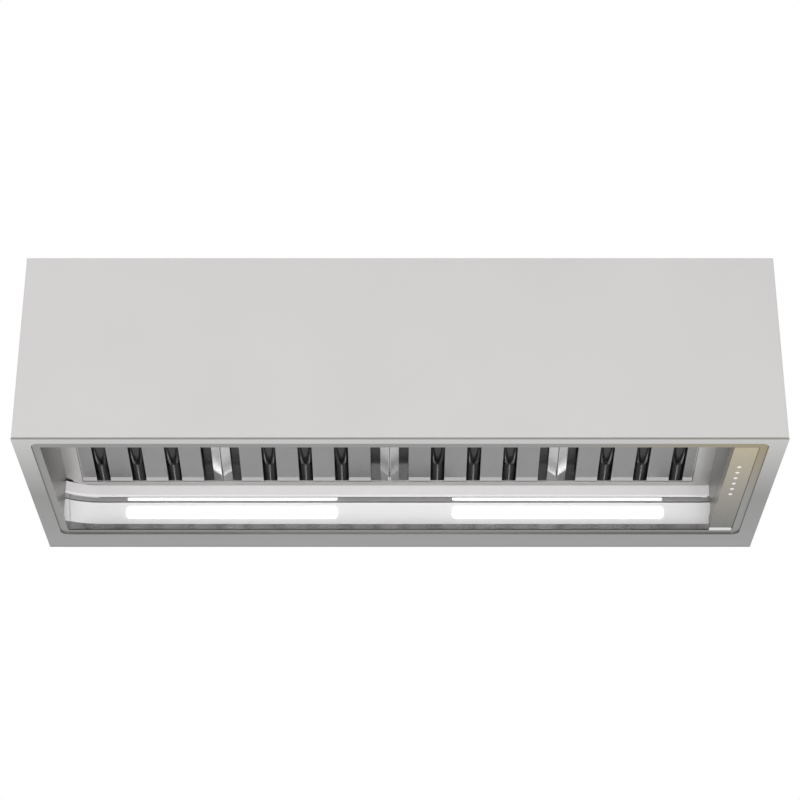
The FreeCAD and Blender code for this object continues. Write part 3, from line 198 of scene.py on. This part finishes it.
casing = coated("casing_paint", (0.655, 0.642, 0.638), rough=0.45, scale=1800.0, depth=0.00003)
deck_steel = brushed("deck_steel", (0.56, 0.555, 0.55), LONG_GRAIN, rough=0.36)
baffle_steel = brushed("baffle_steel", (0.30, 0.295, 0.295), CROSS_GRAIN, rough=0.34, change=0.02,
                       depth=0.00001)
liner_steel = brushed("liner_steel", (0.32, 0.318, 0.31), LONG_GRAIN, rough=0.36)
flap_metal = brushed("flap_metal", (0.75, 0.75, 0.76), LONG_GRAIN, rough=0.30)
plated = brushed("plated_steel", (0.70, 0.69, 0.66), EVEN_GRAIN, rough=0.25)
wire = brushed("handle_wire", (0.74, 0.74, 0.73), WIRE_GRAIN, rough=0.18)
zinc = galvanised("zinc_sheet", (0.62, 0.63, 0.64), rough=0.38)
black = coated("moulded_black", (0.045, 0.045, 0.048), rough=0.5, scale=1500.0, depth=0.00005, change=0.15)
shell = coated("motor_enamel", (0.16, 0.165, 0.175), rough=0.42, scale=1200.0, depth=0.00005, change=0.08)
board = coated("board_mask", (0.03, 0.16, 0.06), rough=0.35, scale=700.0, depth=0.00003, change=0.15)
sheath = coated("lead_sheath", (0.03, 0.03, 0.032), rough=0.55, scale=1400.0, depth=0.00004, change=0.15)
button = coated("button_white", (0.82, 0.81, 0.78), rough=0.3, scale=2500.0, depth=0.00002)

# The light bar is satin on its face and polished on the shelf below its bend
bar_metal = bent("light_bar_metal", bend=(0.0400, 0.0418),
                 colours=((0.38, 0.375, 0.375), (0.83, 0.81, 0.815)),
                 metallic=(1.0, 0.15), roughness=(0.12, 0.50))
bar_metal.bump(bar_metal.grain(LONG_GRAIN), strength=0.2, depth=0.00002)

# The light panel is enamelled on its slope and bare below the bend
panel_white = bent("panel_enamel", bend=(0.0136, 0.0142),
                   colours=((0.87, 0.86, 0.865), (0.98, 0.975, 0.975)),
                   metallic=(0.75, 0.0), roughness=(0.12, 0.30))
panel_white.bump(panel_white.noise(scale=900.0, detail=2.0), strength=0.1, depth=0.00001)

# The arches of a filter get a painted shade inside, where they look down into the slots, and are bare
# steel outside
SLOT_PAINTED_SHADE = (0.062, 0.062, 0.064)
FILTER_BACK = (0.42, 0.42, 0.415)
UPWARD = (0.0, 0.1)
arch_steel = Finish("arch_steel", metallic=1.0)
arch_outside = arch_steel.facing("Z", UPWARD)
arch_steel.link(arch_steel.mix(arch_outside, SLOT_PAINTED_SHADE, FILTER_BACK), "Base Color")
arch_steel.texture(arch_steel.grain(CROSS_GRAIN), smooth=0.08, rough=0.13, strength=0.3, depth=0.00001)

# The side rails of a filter are polished, and the covers deep behind them get a painted shade where they
# look down.
# The tone changes 8 to 9 mm above the hinge line, square to the tilted filters.
HINGE = next(joint["pos_m"] for joint in frame["joints"] if joint["name"] == "filter_1_swing")
FILTER_TILT = math.radians(10.1)
HINGE_DEPTH = HINGE[1] * math.sin(FILTER_TILT) + HINGE[2] * math.cos(FILTER_TILT)
COVER_DEPTH = (HINGE_DEPTH + 0.008, HINGE_DEPTH + 0.009)
DOWNWARD = (-0.4, -0.6)
RAIL_POLISHED = (0.58, 0.58, 0.58)
rail_steel = Finish("filter_rail_steel", metallic=1.0)
rail_deep = rail_steel.along("Z", COVER_DEPTH, FILTER_TILT)
rail_painted_shade = rail_steel.both(rail_deep, rail_steel.facing("Z", DOWNWARD))
rail_steel.link(rail_steel.mix(rail_painted_shade, RAIL_POLISHED, SLOT_PAINTED_SHADE), "Base Color")
rail_steel.texture(rail_steel.grain(CROSS_GRAIN), smooth=0.16, rough=0.26, strength=0.2, depth=0.00002)

# The frame carries a painted gradient: painted light along its front rail, painted shade towards its side
# and rear rails, and painted shade lines along its front and rear edges. Its pressed inner flange gets a
# painted shade, with a painted warm reflection beside the front end of the control strip. A rail's place
# is a share of the frame's depth.
FRAME_DEPTH = [corner[1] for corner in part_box("underside_frame")]
FRONT_EDGE_PAINTED_SHADE = (0.0015, (0.40, 0.40, 0.395))
FRONT_RAIL_PAINTED_LIGHT = (0.0025, (0.65, 0.65, 0.645))
SIDE_RAILS = (0.5, (0.34, 0.34, 0.335))
REAR_RAIL = (0.988, (0.39, 0.385, 0.385))
REAR_EDGE_PAINTED_SHADE = (0.994, (0.20, 0.20, 0.195))
FLANGE_LEVEL = (0.0006, 0.0014)
FLANGE_PAINTED_SHADE = (0.33, 0.33, 0.325)
FLANGE_PAINTED_REFLECTION = (0.39, 0.335, 0.225)
REFLECTION_SIDE = (0.20, 0.43)
REFLECTION_DEPTH = (0.02, -0.12)
frame_steel = Finish("frame_steel", metallic=1.0)
# Painted light along the front rail and painted shade towards the rear, with painted shade lines at both
# edges
frame_painted_gradient = frame_steel.tint(frame_steel.along("Y", FRAME_DEPTH), FRONT_EDGE_PAINTED_SHADE, FRONT_RAIL_PAINTED_LIGHT, SIDE_RAILS,
                              REAR_RAIL, REAR_EDGE_PAINTED_SHADE)
# A painted warm reflection on the flange beside the front end of the control strip
frame_reflection_share = frame_steel.both(frame_steel.along("X", REFLECTION_SIDE), frame_steel.along("Y", REFLECTION_DEPTH))
frame_flange_shade_and_reflection = frame_steel.mix(frame_reflection_share, FLANGE_PAINTED_SHADE, FLANGE_PAINTED_REFLECTION)
frame_inside = frame_steel.along("Z", FLANGE_LEVEL)
frame_steel.link(frame_steel.mix(frame_inside, frame_painted_gradient, frame_flange_shade_and_reflection), "Base Color")
frame_steel.texture(frame_steel.grain(LONG_GRAIN), smooth=0.26, rough=0.40, strength=0.35, depth=0.00004)

# The control strip has a painted warm reflection at its front end that fades to a painted shade at its
# rear end, and a painted highlight along its lip
STRIP_FRONT, STRIP_REAR = (corner[1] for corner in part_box("control_strip"))
STRIP_PAINTED_REFLECTION = (0.0, (0.54, 0.475, 0.335))
STRIP_MIDDLE = (0.45, (0.38, 0.355, 0.30))
STRIP_PAINTED_SHADE = (1.0, (0.195, 0.195, 0.19))
LIP_DEPTH = (STRIP_REAR - 0.0050, STRIP_REAR - 0.0040)
LIP_PAINTED_HIGHLIGHT = (0.66, 0.66, 0.65)
strip = Finish("strip_steel", metallic=0.8)
strip_length = strip.along("Y", (STRIP_FRONT, STRIP_REAR))
strip_painted_tone = strip.tint(strip_length, STRIP_PAINTED_REFLECTION, STRIP_MIDDLE, STRIP_PAINTED_SHADE)
# A painted highlight along the lip, over the painted reflection and shade
strip.link(strip.mix(strip.along("Y", LIP_DEPTH), strip_painted_tone, LIP_PAINTED_HIGHLIGHT), "Base Color")
strip.texture(strip.grain(CROSS_GRAIN), smooth=0.28, rough=0.42, strength=0.3, depth=0.00004)

# The lenses glow evenly through a fine frost
LENS_TONES = ((0.94, 0.94, 0.93), (0.97, 0.97, 0.96))
GLOW_TONES = ((0.97, 0.98, 1.0), (1.0, 1.0, 1.0))
lens = Finish("frosted_lens", roughness=0.4, emission_strength=3.0)
frost = lens.noise(scale=1500.0)
lens.link(lens.tint(frost, *zip(MIDDLE_RANGE, LENS_TONES)), "Base Color")
lens.link(lens.tint(frost, *zip(MIDDLE_RANGE, GLOW_TONES)), "Emission Color")
lens.bump(frost, strength=0.1, depth=0.00003)

FINISHES = {
    "outer_casing": casing, "underside_frame": frame_steel, "filter_deck": deck_steel,
    "light_bar": bar_metal, "light_panel": panel_white, "panel_end_left": panel_white,
    "panel_end_right": panel_white, "light_lens_left": lens, "light_lens_right": lens,
    "control_strip": strip, "light_board_left": board, "light_board_right": board, "control_board": board,
    "light_driver": black, "terminal_box": black, "cable_gland": black, "button_guide": black,
    "impeller_wheel": black, "motor_housing": shell, "capacitor": shell,
    "motor_shaft": plated, "damper_pin": plated, "panel_screws": plated, "collar_screws": plated,
    "damper_flap_front": flap_metal, "damper_flap_rear": flap_metal,
    "motor_lead": sheath, "light_lead_left": sheath, "light_lead_right": sheath,
}
FAMILIES = {
    "filter_frame": rail_steel, "front_baffles": baffle_steel, "rear_baffles": arch_steel,
    "filter_handle": wire, "control_button": button, "side_liner": liner_steel,
}


def finish_of(node):
    """A node's own finish, or its family's. The other nodes are zinc-coated sheet."""
    if node in FINISHES:
        return FINISHES[node]
    family = node.rpartition("_")[0]
    return FAMILIES.get(family, zinc)


for node, thing in frame["nodes"].items():
    for slot in thing.material_slots:
        slot.material = finish_of(node).material

# Stage, lamps and camera

FLOOR_Z = -1.6
FLOOR_HALF = 60.0
FLOOR_PALE = (0.88, 0.88, 0.88)
FLOOR_WHITE = 0.6
WHITE = (1.0, 1.0, 1.0, 1.0)
AMBIENT = 0.72
FULL_WHITE = 1.0


def seen_directly(tree):
    """1 for what the camera and reflections see, and 0 for the light that falls on the object."""
    rays = tree.nodes.new("ShaderNodeLightPath")
    seen = rays.outputs["Is Camera Ray"]
    for name in ("Is Glossy Ray", "Is Transmission Ray"):
        more = tree.nodes.new("ShaderNodeMath")
        more.operation = "MAXIMUM"
        tree.links.new(seen, more.inputs[0])
        tree.links.new(rays.outputs[name], more.inputs[1])
        seen = more.outputs["Value"]
    return seen


def mixed_shader(tree, share, first, second):
    """A shader between two others."""
    made = tree.nodes.new("ShaderNodeMixShader")
    for socket, source in zip(made.inputs, (share, first, second)):
        tree.links.new(source, socket)
    return made.outputs["Shader"]


def stage_floor():
    """A pale floor that keeps shadows, and looks almost white."""
    mesh = bpy.data.meshes.new("floor")
    signs = [(-1, -1), (1, -1), (1, 1), (-1, 1)]
    corners = [(x * FLOOR_HALF, y * FLOOR_HALF, FLOOR_Z) for x, y in signs]
    mesh.from_pydata(corners, [], [(0, 1, 2, 3)])
    floor = bpy.data.objects.new("floor", mesh)
    bpy.context.collection.objects.link(floor)
    pale = coated("floor_pale", FLOOR_PALE, rough=0.8, scale=40.0, depth=0.0002, change=0.01)
    tree = pale.tree
    share = pale.both(seen_directly(tree), FLOOR_WHITE)
    white = pale.add("ShaderNodeEmission").outputs["Emission"]
    surface = mixed_shader(tree, share, pale.shader.outputs["BSDF"], white)
    tree.links.new(surface, tree.nodes["Material Output"].inputs["Surface"])
    mesh.materials.append(pale.material)


def white_surround():
    """White where the camera and reflections look, and an even ambient level elsewhere."""
    world = bpy.data.worlds.new("surround")
    bpy.context.scene.world = world
    world.use_nodes = True
    tree = world.node_tree
    tree.nodes.clear()
    levels = []
    for strength in (AMBIENT, FULL_WHITE):
        level = tree.nodes.new("ShaderNodeBackground")
        level.inputs["Color"].default_value = WHITE
        level.inputs["Strength"].default_value = strength
        levels.append(level.outputs["Background"])
    surface = mixed_shader(tree, seen_directly(tree), *levels)
    out = tree.nodes.new("ShaderNodeOutputWorld")
    tree.links.new(surface, out.inputs["Surface"])


def softbox(name, place, aim, width, height, power, mirrored):
    """An area lamp. Polished metal shows it only where mirrored is true."""
    data = bpy.data.lights.new(name, "AREA")
    data.shape = "RECTANGLE"
    data.size = width
    data.size_y = height
    data.energy = power
    lamp = bpy.data.objects.new(name, data)
    lamp.location = place
    lamp.rotation_euler = (Vector(aim) - Vector(place)).to_track_quat("-Z", "Y").to_euler()
    lamp.visible_glossy = mirrored
    lamp.visible_camera = False
    bpy.context.collection.objects.link(lamp)


CAMERA_PLACE = (0.0, -2.2684, -1.0972)
LEVEL_PITCH = 90.0
CAMERA_PITCH = LEVEL_PITCH + 25.147
CAMERA_LENS = 92.9
CAMERA_SHIFT = 0.15


def photo_camera():
    """A camera that looks up from the front, as the photograph does."""
    data = bpy.data.cameras.new("photo_camera")
    data.lens = CAMERA_LENS
    data.shift_y = CAMERA_SHIFT
    camera = bpy.data.objects.new("photo_camera", data)
    camera.location = CAMERA_PLACE
    camera.rotation_euler = (math.radians(CAMERA_PITCH), 0.0, 0.0)
    bpy.context.collection.objects.link(camera)
    bpy.context.scene.camera = camera


stage_floor()
white_surround()
softbox("front_softbox", place=(-1.2, -3.4, 1.4), aim=(0.0, 0.0, 0.1), width=2.6, height=1.8, power=22.0,
        mirrored=False)
softbox("under_softbox", place=(0.0, -0.4, -1.5), aim=(0.0, -0.3, 0.0), width=2.8, height=2.2, power=16.0,
        mirrored=True)
softbox("low_strip", place=(0.0, -2.6, -1.3), aim=(0.0, 0.0, 0.05), width=0.25, height=0.9, power=6.0,
        mirrored=True)
photo_camera()
bpy.context.scene.view_settings.view_transform = "Standard"
